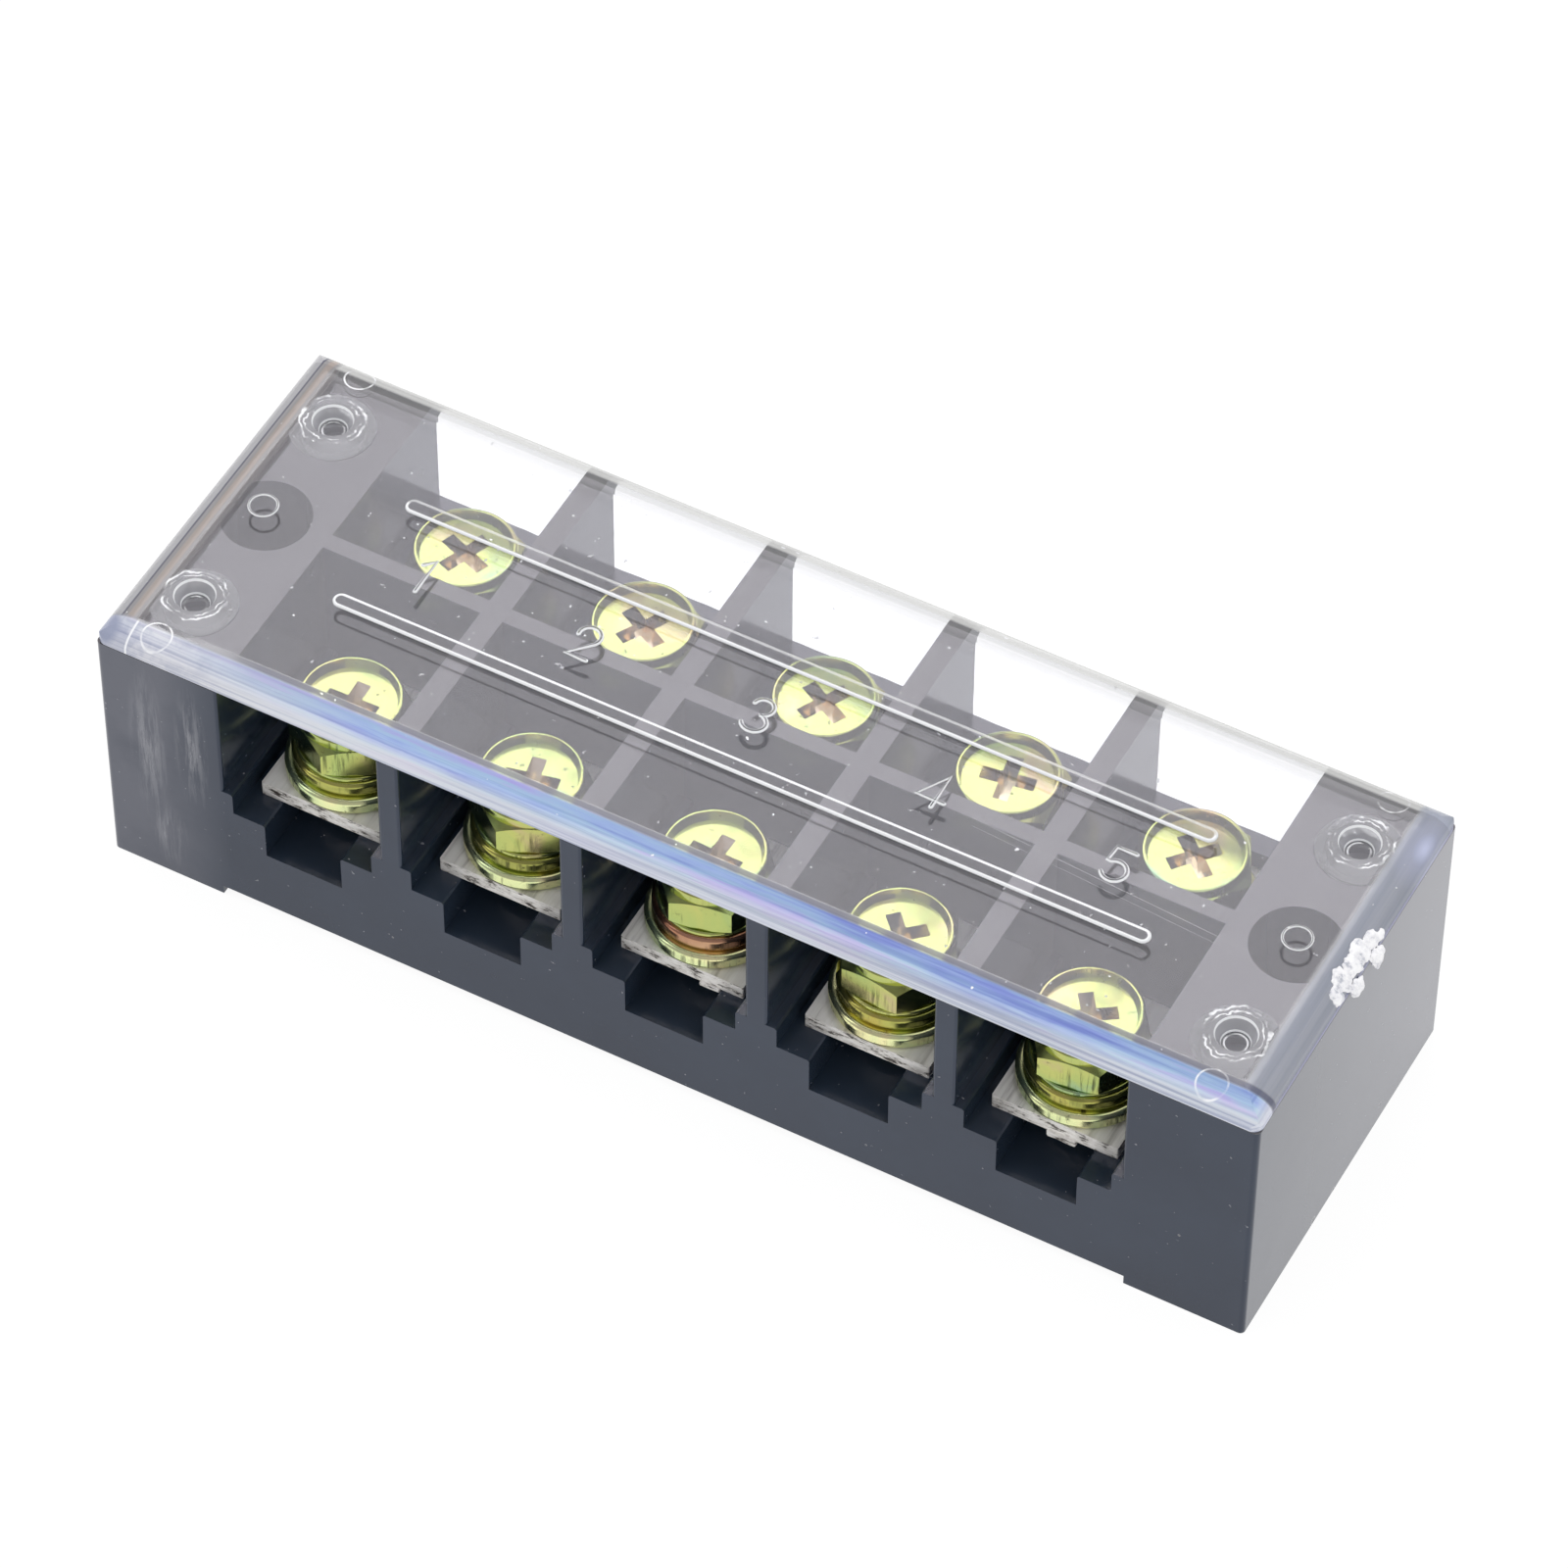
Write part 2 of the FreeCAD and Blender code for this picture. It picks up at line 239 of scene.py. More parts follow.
def spot(tree, coords, center, size, soft=0.4):
    # 1 inside an egg-shaped patch of the part, fading out over its rim
    away = tree.nodes.new("ShaderNodeVectorMath")
    away.operation = "SUBTRACT"
    tree.links.new(coords.outputs["Object"], away.inputs[0])
    away.inputs[1].default_value = mmPoint(center)
    shrunk = tree.nodes.new("ShaderNodeVectorMath")
    shrunk.operation = "DIVIDE"
    tree.links.new(away.outputs[0], shrunk.inputs[0])
    shrunk.inputs[1].default_value = mmPoint(size)
    span = tree.nodes.new("ShaderNodeVectorMath")
    span.operation = "LENGTH"
    tree.links.new(shrunk.outputs[0], span.inputs[0])
    return spread(tree, span.outputs["Value"], 1.0, 0.0, 1.0 - soft, 1.0)


def edgeLine(tree, value, place, half, strength):
    # a soft straight line at a place given in mm
    off = unsigned(tree, minus(tree, value, mm(place)))
    return spread(tree, off, strength, 0.0, mm(half / 2), mm(half))


def ringLines(tree, acrossX, acrossY, rings, wobble):
    # thin circles around a middle, as (radius, half width) in mm
    far = plus(tree, flatDistance(tree, acrossX, acrossY), wobble)
    return most(tree, *[edgeLine(tree, far, radius, half, 0.9) for radius, half in rings])


housingLook = {
    "clouds": [(0.3, (0.014, 0.022, 0.036)), (0.75, (0.022, 0.034, 0.054))],
    "cloudNoise": (55, 4, 0.6),
    "grain": (420, 3, 0.6),
    "grainBump": (0.03, 0.06),
    "wave": (90, 2, 0.4),
    "waveBump": (0.06, 0.4),
    "gloss": (0.66, 0.69, 0.88),
    "upGloss": (1.0, 0.96, 0.98),
    "ior": 1.54,
    "rough": (0.10, 0.20),
    "markedRough": 0.4,
    # painted sheen: the tops under the cover are painted a lighter grey for the lamp they reflect,
    # from the left end to the paler right
    "topHeight": 33.0,
    "topSheenRun": (-60, 66),
    "topFacing": (0.6, 0.95),
    "top": [(0.0, (0.064, 0.062, 0.064)), (1.0, (0.140, 0.136, 0.142))],
    # painted sheen on the end faces, by how flat they are seen and from front to rear
    "endFace": 67.3,
    "endSheenColor": (0.25, 0.252, 0.275),
    "endSheenFacing": (0.52, 0.86),
    "endSheenDepth": {"strength": (0.42, 1.46), "run": (-23, 23)},
    # painted reflection on the front of the left end block
    "leftSheen": (0.100, 0.105, 0.125),
    "leftSheenRun": (-60.5, -53.0),
    "frontFacing": (-0.9, -0.5),
    "blotches": {"noise": (70, 4, 0.6), "spread": (0.5, 1.0, 0.3, 0.6)},
    "scuff": (0.42, 0.42, 0.44),
    "scuffStrength": 0.42,
    "scuffSoft": 0.8,
    "scuffs": [
        ((-62.4, -23, 20.0), (2.6, 0.6, 13.0)),
        ((-57.0, -23, 22.0), (2.2, 0.6, 11.0)),
        ((-60.6, -23, 6.5), (2.4, 0.6, 6.0)),
    ],
    "drag": {"streaks": ((1500, 1500, 120), 5, 0.7), "spread": (0.0, 0.9, 0.46, 0.60)},
    "specks": {"noise": (1400, 2, 0.5), "spread": (0.0, 0.45, 0.735, 0.76)},
    "pits": [
        ((68, 9.1, 2.3), 0.42),
        ((68, -1.9, 0.2), 0.5),
        ((68, -6.6, 0.4), 0.6),
        ((60.1, -23, 12.0), 0.16),
        ((-33.0, -23, 5.0), 0.14),
        ((24.0, -23, 4.5), 0.14),
    ],
    "pitRim": (0.45, 0.45, 0.45),
    "pitCore": (0.01, 0.01, 0.012),
    "pitSoft": 0.3,
    "coreShare": 0.6,
    "coreBump": (0.6, -0.3),
}


def pitMask(tree, coords, share):
    spots = []
    for center, radius in housingLook["pits"]:
        size = (radius * share,) * 3
        spots.append(spot(tree, coords, center, size, housingLook["pitSoft"]))
    return most(tree, *spots)


def makeHousingPlastic():
    mat, tree, shader, coords = startMaterial("housingGloss")
    plain = mapped(tree, coords)
    place = axes(tree, coords.outputs["Object"])
    facing = axes(tree, coords.outputs["Normal"])
    base = ramp(tree, noise(tree, plain, *housingLook["cloudNoise"]), housingLook["clouds"])
    # painted reflection: the front of the left end block is painted a little paler in patches, for
    # the bright floor it reflects
    toLeft = falling(tree, place["X"], *housingLook["leftSheenRun"])
    toFront = spread(tree, facing["Y"], 1.0, 0.0, *housingLook["frontFacing"])
    blotches = patchy(tree, plain, housingLook["blotches"])
    leftSheen = times(tree, toLeft, toFront, blotches)
    base = blendColor(tree, leftSheen, base, housingLook["leftSheen"])
    # pale upright drag marks inside the scuffed patches
    drag = drawn(tree, coords, housingLook["drag"])
    soft = housingLook["scuffSoft"]
    patches = most(tree, *[spot(tree, coords, *item, soft) for item in housingLook["scuffs"]])
    scuffed = times(tree, drag, patches, housingLook["scuffStrength"])
    # fine specks all over
    marked = most(tree, scuffed, patchy(tree, plain, housingLook["specks"]))
    base = blendColor(tree, marked, base, housingLook["scuff"])
    # painted sheen: the tops under the cover are painted greyer and paler, for the lamp they
    # reflect
    upward = spread(tree, facing["Z"], 0.0, 1.0, *housingLook["topFacing"])
    onTop = times(tree, upward, above(tree, place["Z"], mm(housingLook["topHeight"])))
    toRight = rising(tree, place["X"], *housingLook["topSheenRun"])
    base = blendColor(tree, onTop, base, ramp(tree, toRight, housingLook["top"]))
    # small pits with a pale rim and a dark core
    cores = pitMask(tree, coords, housingLook["coreShare"])
    base = blendColor(tree, pitMask(tree, coords, 1.0), base, housingLook["pitRim"])
    base = blendColor(tree, cores, base, housingLook["pitCore"])
    # painted sheen: the two end faces are painted paler at a flat angle, stronger to the rear, for
    # the bright room they reflect
    layer = tree.nodes.new("ShaderNodeLayerWeight")
    layer.inputs["Blend"].default_value = 0.5
    endSheen = spread(tree, layer.outputs["Facing"], 0.0, 0.85, *housingLook["endSheenFacing"])
    onEnd = above(tree, unsigned(tree, place["X"]), mm(housingLook["endFace"]))
    depth = housingLook["endSheenDepth"]
    toRear = spread(tree, place["Y"], *depth["strength"], *mmPoint(depth["run"]))
    base = blendColor(tree, times(tree, endSheen, onEnd, toRear), base, housingLook["endSheenColor"])
    tree.links.new(base, shader.inputs["Base Color"])
    grain = noise(tree, plain, *housingLook["grain"])
    rough = spread(tree, grain, *housingLook["rough"])
    rough = plus(tree, rough, times(tree, marked, housingLook["markedRough"]))
    tree.links.new(rough, shader.inputs["Roughness"])
    finish = bumpFrom(tree, grain, *housingLook["grainBump"])
    wave = noise(tree, plain, *housingLook["wave"])
    finish = bumpFrom(tree, wave, *housingLook["waveBump"], finish)
    finish = bumpFrom(tree, cores, *housingLook["coreBump"], finish)
    tree.links.new(finish, shader.inputs["Normal"])
    shader.inputs["IOR"].default_value = housingLook["ior"]
    gloss = blendColor(tree, upward, housingLook["gloss"], housingLook["upGloss"])
    tree.links.new(gloss, shader.inputs["Specular Tint"])
    return mat


coverLook = {
    "tint": (0.955, 0.96, 0.98),
    "white": (0.96, 0.97, 0.99),
    "ior": 1.58,
    "rough": {"noise": (60, 3, 0.5), "spread": (0.0, 0.02)},
    "ripple": {"stretch": (1, 2.5, 1), "noise": (120, 2, 0.5), "bump": (0.03, 0.3)},
    "alongX": ((16, 900, 1900), 4, 0.65),
    "alongY": ((900, 16, 1900), 4, 0.65),
    # how far the flat top reaches from the middle, and heights on the cover
    "flat": (64.2, 19.2),
    "land": 34.1,
    "beadsFrom": 36.02,
    "topLevel": (35.9, 36.1),
    "sinkFloor": (34.3, 34.5),
    "sinkWall": (34.4, 35.75),
    "pegsBelow": 33.4,
    "whiteBands": [(35.72, 36.02), (34.35, 34.62)],
    # the soft inner border of each rim, from its lower to its higher place
    "rims": {
        "right": (64.2, 64.8),
        "left": (-64.8, -64.4),
        "rear": (19.2, 19.8),
        "rearStrip": (20.7, 21.2),
        "front": (-20.2, -19.7),
        "lowEdge": (34.1, 34.7),
        "awayLeft": (-61, -50),
    },
    # how opaque each rim is, from clear at 0 to solid at 1, so that its painted colour shows
    "opacity": {
        "right": 0.52,
        "rightEdge": 0.85,
        "flare": 0.8,
        "left": 0.55,
        "rear": 0.12,
        "rearStrip": 0.72,
        "front": 0.97,
        "socket": 0.30,
        "pegPaintedLight": 0.55,
    },
    # front rim, painted reflection and shade
    "frontPaintedLight": [
        (0.34, (0.39, 0.41, 0.50)),
        (0.46, (0.56, 0.57, 0.64)),
        (0.58, (0.75, 0.75, 0.78)),
    ],
    "driftLines": ((38, 420, 420), 4, 0.65),
    "driftRuns": {"x": (-58, -35), "z": (34.9, 35.6)},
    "darkerLines": (0.9, 0.0, 0.38, 0.54),
    "drift": [
        (0.36, (0.34, 0.42, 0.80)),
        (0.46, (0.44, 0.58, 0.84)),
        (0.54, (0.48, 0.66, 0.82)),
        (0.64, (0.54, 0.50, 0.84)),
    ],
    "frontTop": (0.60, 0.64, 0.80),
    "frontTopRun": (35.4, 35.9),
    "mottle": (0.78, 0.80, 0.86),
    "mottled": {"noise": (330, 4, 0.6), "spread": (0.0, 1.0, 0.46, 0.58)},
    "corner": {"spot": ((-67.6, -21.8, 35.0), (2.3, 2.4, 2.2), 0.35), "color": (0.32, 0.35, 0.47)},
    "cornerLine": (-64.3, 0.16, 0.9),
    # right rim, painted reflection and shade
    "rightZone": [(0.36, (0.42, 0.46, 0.53)), (0.60, (0.54, 0.57, 0.63))],
    "rightEdge": (0.15, 0.16, 0.32),
    "flare": {"spot": ((66.9, 17.0, 35.2), (3.0, 6.0, 2.2), 0.9), "color": (0.62, 0.66, 0.86)},
    # left rim, painted reflection and shade, its lines as (place, half width, strength)
    "leftZone": [(0.36, (0.36, 0.35, 0.35)), (0.60, (0.50, 0.49, 0.49))],
    "leftEdge": (0.66, 0.66, 0.68),
    "leftEdgeFrom": -66.4,
    "tan": (0.60, 0.50, 0.43),
    "tanLine": (-65.4, 0.5, 0.8),
    "darkLines": [(-64.5, 0.10, 0.5), (-66.4, 0.16, 0.8)],
    # rear rim, painted reflection
    "rearZone": [(0.36, (0.66, 0.665, 0.645)), (0.60, (0.78, 0.785, 0.76))],
    # painted shade colour for the dark rim lines
    "rimShade": (0.07, 0.075, 0.14),
    "rimShadeLine": (-19.6, 0.5, 0.75),
    # pegs and ejector marks, with painted highlight rings as (radius, half width)
    "pegPlace": (61.0, 14.2),
    "pegRings": [(3.4, 0.20), (2.85, 0.12)],
    "wobbleNoise": (420, 3, 0.6),
    "wobble": (-0.9, 0.9),
    "patches": {"noise": (600, 2, 0.5), "spread": (0.15, 1.0, 0.38, 0.58)},
    "sinkRing": [(1.2, 0.14)],
    "markPlace": (61.6, 20.9),
    "markRings": [(1.65, 0.14)],
    "markFrom": 34.3,
    # painted light over each peg's socket
    "socket": (0.30, 0.30, 0.32),
    "socketReach": 4.75,
    "sightShift": (0.50, -0.94),
    "pegPaintedLight": (0.62, 0.62, 0.66),
    # raised beads, with painted highlight outlines this far from their middle line
    "beadRow": 7.55,
    "beadRun": 47.05,
    "beadLean": 0.09,
    "beadLine": (0.53, 0.63, 1.1),
    "farBead": {"strength": 0.5, "run": (7.55, 7.8)},
    "hair": {"from": (24.8, -2.0), "to": (58.0, -4.2), "half": 0.035, "strength": 0.55},
    "dust": {"noise": (1000, 2, 0.5), "spread": (0.0, 0.8, 0.74, 0.76)},
}


def rimZones(tree, coords, place):
    # a mask for each rim of the cover, 1 where the rim is full
    rims = coverLook["rims"]
    zones = {name: rising(tree, place["X"], *rims[name]) for name in ("right", "awayLeft")}
    zones["left"] = falling(tree, place["X"], *rims["left"])
    zones["rear"] = rising(tree, place["Y"], *rims["rear"])
    zones["rearStrip"] = rising(tree, place["Y"], *rims["rearStrip"])
    zones["front"] = falling(tree, place["Y"], *rims["front"])
    lowEdge = falling(tree, place["Z"], *rims["lowEdge"])
    aboveLand = above(tree, place["Z"], mm(coverLook["land"]))
    zones["rearStrip"] = times(tree, zones["rearStrip"], aboveLand)
    zones["rightEdge"] = times(tree, zones["right"], lowEdge)
    flare = spot(tree, coords, *coverLook["flare"]["spot"])
    zones["flare"] = times(tree, flare, zones["right"])
    return zones


def sideColor(tree, place, zones, alongX, alongY):
    # painted reflection and shade on the clear rims: pale at the rear, bluish to the right with a
    # dark violet edge
    color = ramp(tree, alongX, coverLook["rearZone"])
    color = blendColor(tree, zones["right"], color, ramp(tree, alongY, coverLook["rightZone"]))
    color = blendColor(tree, zones["rightEdge"], color, coverLook["rightEdge"])
    color = blendColor(tree, zones["flare"], color, coverLook["flare"]["color"])
    # painted reflection and shade to the left: a tan and two dark lines inside a pale edge
    outer = below(tree, place["X"], mm(coverLook["leftEdgeFrom"]))
    left = ramp(tree, alongY, coverLook["leftZone"])
    left = blendColor(tree, outer, left, coverLook["leftEdge"])
    tanLine = edgeLine(tree, place["X"], *coverLook["tanLine"])
    left = blendColor(tree, tanLine, left, coverLook["tan"])
    darkLines = [edgeLine(tree, place["X"], *line) for line in coverLook["darkLines"]]
    left = blendColor(tree, most(tree, *darkLines), left, coverLook["rimShade"])
    return blendColor(tree, zones["left"], color, left)


def frontColor(tree, coords, plain, place, zones, lines):
    # painted reflection: the front rim is painted the brightest, for the white backdrop seen
    # through its rounded edge, with drifting blue and violet in its upper half
    drift = ramp(tree, streaks(tree, coords, *coverLook["driftLines"]), coverLook["drift"])
    darker = spread(tree, lines, *coverLook["darkerLines"])
    drift = tinted(tree, darker, drift, coverLook["frontTop"])
    runs = coverLook["driftRuns"]
    pastCorner = spread(tree, place["X"], 0.12, 1.0, *mmPoint(runs["x"]))
    upperHalf = spread(tree, place["Z"], 0.22, 1.0, *mmPoint(runs["z"]))
    front = ramp(tree, lines, coverLook["frontPaintedLight"])
    front = blendColor(tree, times(tree, pastCorner, upperHalf), front, drift)
    # painted shade: the top edge of the front rim is darkened and tinted blue
    topEdge = spread(tree, place["Z"], 0.0, 0.8, *mmPoint(coverLook["frontTopRun"]))
    topEdge = times(tree, topEdge, zones["awayLeft"])
    front = tinted(tree, topEdge, front, coverLook["frontTop"])
    # painted shade: mottled and darker around the left corner, then a white painted highlight line
    mottled = patchy(tree, plain, coverLook["mottled"])
    mottled = times(tree, mottled, minus(tree, 1.0, zones["awayLeft"]))
    front = tinted(tree, mottled, front, coverLook["mottle"])
    corner = coverLook["corner"]
    front = blendColor(tree, spot(tree, coords, *corner["spot"]), front, corner["color"])
    cornerLine = edgeLine(tree, place["X"], *coverLook["cornerLine"])
    return blendColor(tree, cornerLine, front, coverLook["white"])


def ringMask(tree, plain, place, facing, onTop):
    # painted highlights: the wavy outlines of pegs and ejector marks, seen at the underside, drawn
    # as white rings for the light they catch
    pegX = offPair(tree, place["X"], coverLook["pegPlace"][0])
    pegY = offPair(tree, place["Y"], coverLook["pegPlace"][1])
    markX = offPair(tree, place["X"], coverLook["markPlace"][0])
    markY = offPair(tree, place["Y"], coverLook["markPlace"][1])
    wobble = noise(tree, plain, *coverLook["wobbleNoise"])
    wobble = spread(tree, wobble, *mmPoint(coverLook["wobble"]))
    onLevel = times(tree, onTop, between(tree, place["Z"], *coverLook["topLevel"]))
    pegs = times(tree, ringLines(tree, pegX, pegY, coverLook["pegRings"], wobble), onLevel)
    onFloor = between(tree, place["Z"], *coverLook["sinkFloor"])
    sinks = times(tree, ringLines(tree, pegX, pegY, coverLook["sinkRing"], 0.0), onFloor)
    overRim = above(tree, place["Z"], mm(coverLook["markFrom"]))
    overRim = times(tree, overRim, above(tree, facing["Z"], 0.3))
    marks = times(tree, ringLines(tree, markX, markY, coverLook["markRings"], 0.0), overRim)
    patches = patchy(tree, plain, coverLook["patches"])
    return times(tree, most(tree, marks, pegs, sinks), patches)


def socketMask(tree, place, inside, onTop):
    # painted light: a grey veil over each peg's socket stands in for the lit socket seen through
    # the plastic, moved towards the viewer by the plastic's depth
    shift = mmPoint(coverLook["sightShift"])
    sightX = offPair(tree, minus(tree, place["X"], shift[0]), coverLook["pegPlace"][0])
    sightY = offPair(tree, minus(tree, place["Y"], shift[1]), coverLook["pegPlace"][1])
    near = below(tree, flatDistance(tree, sightX, sightY), mm(coverLook["socketReach"]))
    onLevel = times(tree, onTop, between(tree, place["Z"], *coverLook["topLevel"]))
    return times(tree, times(tree, near, inside), onLevel)


def beadMask(tree, place, raised):
    # painted highlights: both beads are outlined in white for the light their edges catch, a little
    # wider on the side that is turned away
    pastEnd = most(tree, offPair(tree, place["X"], coverLook["beadRun"]), 0.0)
    offRow = offPair(tree, place["Y"], coverLook["beadRow"])
    lean = times(tree, maths(tree, "SIGN", place["Y"]), mm(coverLook["beadLean"]))
    fromBead = flatDistance(tree, pastEnd, plus(tree, offRow, lean))
    inner, outer, end = mmPoint(coverLook["beadLine"])
    outline = times(
        tree,
        spread(tree, fromBead, 0.0, 0.97, inner, outer),
        below(tree, fromBead, end),
        raised,
    )
    # the far highlight line of the rear bead is the faintest
    far = coverLook["farBead"]
    fade = spread(tree, place["Y"], 1.0, far["strength"], *mmPoint(far["run"]))
    return times(tree, outline, fade)


def markMask(tree, plain, place, onTop):
    # a long hair scratch, a line between two points of the top, and dust
    hair = coverLook["hair"]
    start, end = Vector(hair["from"]), Vector(hair["to"])
    along = (end - start).normalized()
    offX = times(tree, minus(tree, place["X"], mm(start.x)), -along.y)
    offY = times(tree, minus(tree, place["Y"], mm(start.y)), along.x)
    away = unsigned(tree, plus(tree, offX, offY))
    scratch = spread(tree, away, hair["strength"], 0.0, 0.0, mm(hair["half"]))
    scratch = times(tree, scratch, between(tree, place["X"], start.x, end.x))
    dust = patchy(tree, plain, coverLook["dust"])
    return times(tree, most(tree, scratch, dust), onTop)


def makeCoverPlastic():
    mat, tree, shader, coords = startMaterial("coverClear")
    plain = mapped(tree, coords)
    place = axes(tree, coords.outputs["Object"])
    facing = axes(tree, coords.outputs["Normal"])
    onTop = above(tree, facing["Z"], 0.9)
    slope = minus(tree, 1.0, unsigned(tree, facing["Z"]))
    flatX, flatY = mmPoint(coverLook["flat"])
    inX = below(tree, unsigned(tree, place["X"]), flatX)
    inY = below(tree, unsigned(tree, place["Y"]), flatY)
    inside = times(tree, inX, inY)
    # fine streaks run along each rim
    onSide = spread(tree, unsigned(tree, facing["X"]), 0.0, 1.0, 0.1, 0.3)
    alongX = streaks(tree, coords, *coverLook["alongX"])
    alongY = streaks(tree, coords, *coverLook["alongY"])
    across = times(tree, alongX, minus(tree, 1.0, onSide))
    lines = plus(tree, times(tree, alongY, onSide), across)
    zones = rimZones(tree, coords, place)
    color = sideColor(tree, place, zones, alongX, alongY)
    front = frontColor(tree, coords, plain, place, zones, lines)
    color = blendColor(tree, zones["front"], color, front)
    opacity = coverLook["opacity"]
    named = ("right", "left", "rear", "rearStrip", "flare", "rightEdge", "front")
    opaque = most(tree, *[times(tree, zones[name], opacity[name]) for name in named])
    # painted shade: a dark line where the flat top turns into the front rim and its reflection
    # falls off
    rimShade = edgeLine(tree, place["Y"], *coverLook["rimShadeLine"])
    rimShade = times(tree, rimShade, zones["awayLeft"])
    color = blendColor(tree, rimShade, color, coverLook["rimShade"])
    opaque = most(tree, times(tree, opaque, spread(tree, rimShade, 1.0, 0.9)), rimShade)
    socket = socketMask(tree, place, inside, onTop)
    color = blendColor(tree, socket, color, coverLook["socket"])
    opaque = most(tree, opaque, times(tree, socket, opacity["socket"]))
    # painted highlights: inside the rims only beads, digits, rings and the edges of the sinks are
    # white, for the light their steep sides catch
    raised = above(tree, place["Z"], mm(coverLook["beadsFrom"]))
    bands = [between(tree, place["Z"], *band) for band in coverLook["whiteBands"]]
    steep = most(tree, *bands, raised)
    steep = times(tree, steep, spread(tree, slope, 0.0, 0.97, 0.02, 0.10))
    rings = ringMask(tree, plain, place, facing, onTop)
    white = most(tree, times(tree, inside, steep), rings, beadMask(tree, place, raised))
    color = blendColor(tree, white, color, coverLook["white"])
    opaque = most(tree, opaque, white)
    # painted light: the pegs and the walls of their sinks are painted a pale grey, for the light
    # seen through them
    walls = times(tree, between(tree, place["Z"], *coverLook["sinkWall"]), inside)
    pegs = below(tree, place["Z"], mm(coverLook["pegsBelow"]))
    pegPaintedLight = times(tree, most(tree, walls, pegs), minus(tree, 1.0, white))
    color = blendColor(tree, pegPaintedLight, color, coverLook["pegPaintedLight"])
    opaque = most(tree, opaque, times(tree, pegPaintedLight, opacity["pegPaintedLight"]))
    marks = markMask(tree, plain, place, onTop)
    color = blendColor(tree, spread(tree, marks, 0.0, 1.0, 0.0, 0.3), color, coverLook["white"])
    opaque = most(tree, opaque, marks)
    # the colour comes in sooner than the opacity, so dark lines stay dark
    share = spread(tree, opaque, 0.0, 1.0, 0.0, 0.6)
    color = blendColor(tree, share, coverLook["tint"], color)
    tree.links.new(color, shader.inputs["Base Color"])
    tree.links.new(minus(tree, 1.0, opaque), shader.inputs["Transmission Weight"])
    rough = patchy(tree, plain, coverLook["rough"])
    rough = plus(tree, rough, times(tree, opaque, 0.2))
    tree.links.new(rough, shader.inputs["Roughness"])
    ripple = coverLook["ripple"]
    waves = noise(tree, mapped(tree, coords, ripple["stretch"]), *ripple["noise"])
    tree.links.new(bumpFrom(tree, waves, *ripple["bump"]), shader.inputs["Normal"])
    shader.inputs["IOR"].default_value = coverLook["ior"]
    return mat


zincLook = {
    "screw": {
        "stops": [
            (0.26, (0.30, 0.46, 0.27)),
            (0.42, (0.44, 0.53, 0.17)),
            (0.58, (0.53, 0.55, 0.17)),
            (0.74, (0.56, 0.42, 0.26)),
        ],
        "rough": (0.12, 0.24),
        "scale": 130,
    },
    "spring": {
        "stops": [(0.3, (0.22, 0.24, 0.06)), (0.5, (0.46, 0.46, 0.12)), (0.7, (0.50, 0.42, 0.10))],
        "rough": (0.12, 0.26),
        "scale": 160,
    },
    "copper": {
        "stops": [(0.3, (0.20, 0.10, 0.06)), (0.5, (0.42, 0.20, 0.12)), (0.7, (0.56, 0.34, 0.20))],
        "rough": (0.12, 0.26),
        "scale": 160,
    },
    "washer": {
        "stops": [
            (0.28, (0.56, 0.70, 0.38)),
            (0.45, (0.80, 0.86, 0.44)),
            (0.60, (0.92, 0.86, 0.46)),
            (0.75, (0.90, 0.68, 0.52)),
        ],
        "rough": (0.14, 0.28),
        "scale": 140,
    },
    "tint": {"detail": 3, "roughness": 0.5, "distortion": 0.8},
    "sideFacing": (0.2, 0.5),
    "drag": {"streaks": ((2200, 2200, 150), 3, 0.6), "spread": (0.0, 0.75, 0.50, 0.66)},
    "dragPatches": {"noise": (190, 2, 0.5), "spread": (0.0, 1.0, 0.46, 0.62)},
    "stains": {"noise": (900, 4, 0.65), "spread": (0.0, 0.7, 0.62, 0.74)},
    "grain": (700, 3, 0.6),
    "grainBump": (0.08, 0.05),
    "grime": (0.035, 0.032, 0.02),
    "grimeRough": 0.25,
    "polePitch": 21.85,
    "rowOffset": 12.0,
    "recess": {"color": (0.78, 0.62, 0.46), "strength": 0.8, "reach": 3.3, "height": (22.0, 24.87)},
    "threadTop": 14.4,
    "threadPitch": 1.0,
    "threadBump": (0.9, 0.3),
}


def recessMask(tree, place):
    # how far each point lies from its own screw's axis, and whether it is in the recess
    halfPitch = mm(zincLook["polePitch"] / 2)
    acrossX = maths(tree, "WRAP", place["X"], halfPitch, -halfPitch)
    acrossY = offPair(tree, place["Y"], zincLook["rowOffset"])
    recess = zincLook["recess"]
    near = below(tree, flatDistance(tree, acrossX, acrossY), mm(recess["reach"]))
    low, high = mmPoint(recess["height"])
    within = times(tree, near, below(tree, place["Z"], high), above(tree, place["Z"], low))
    return times(tree, within, recess["strength"])


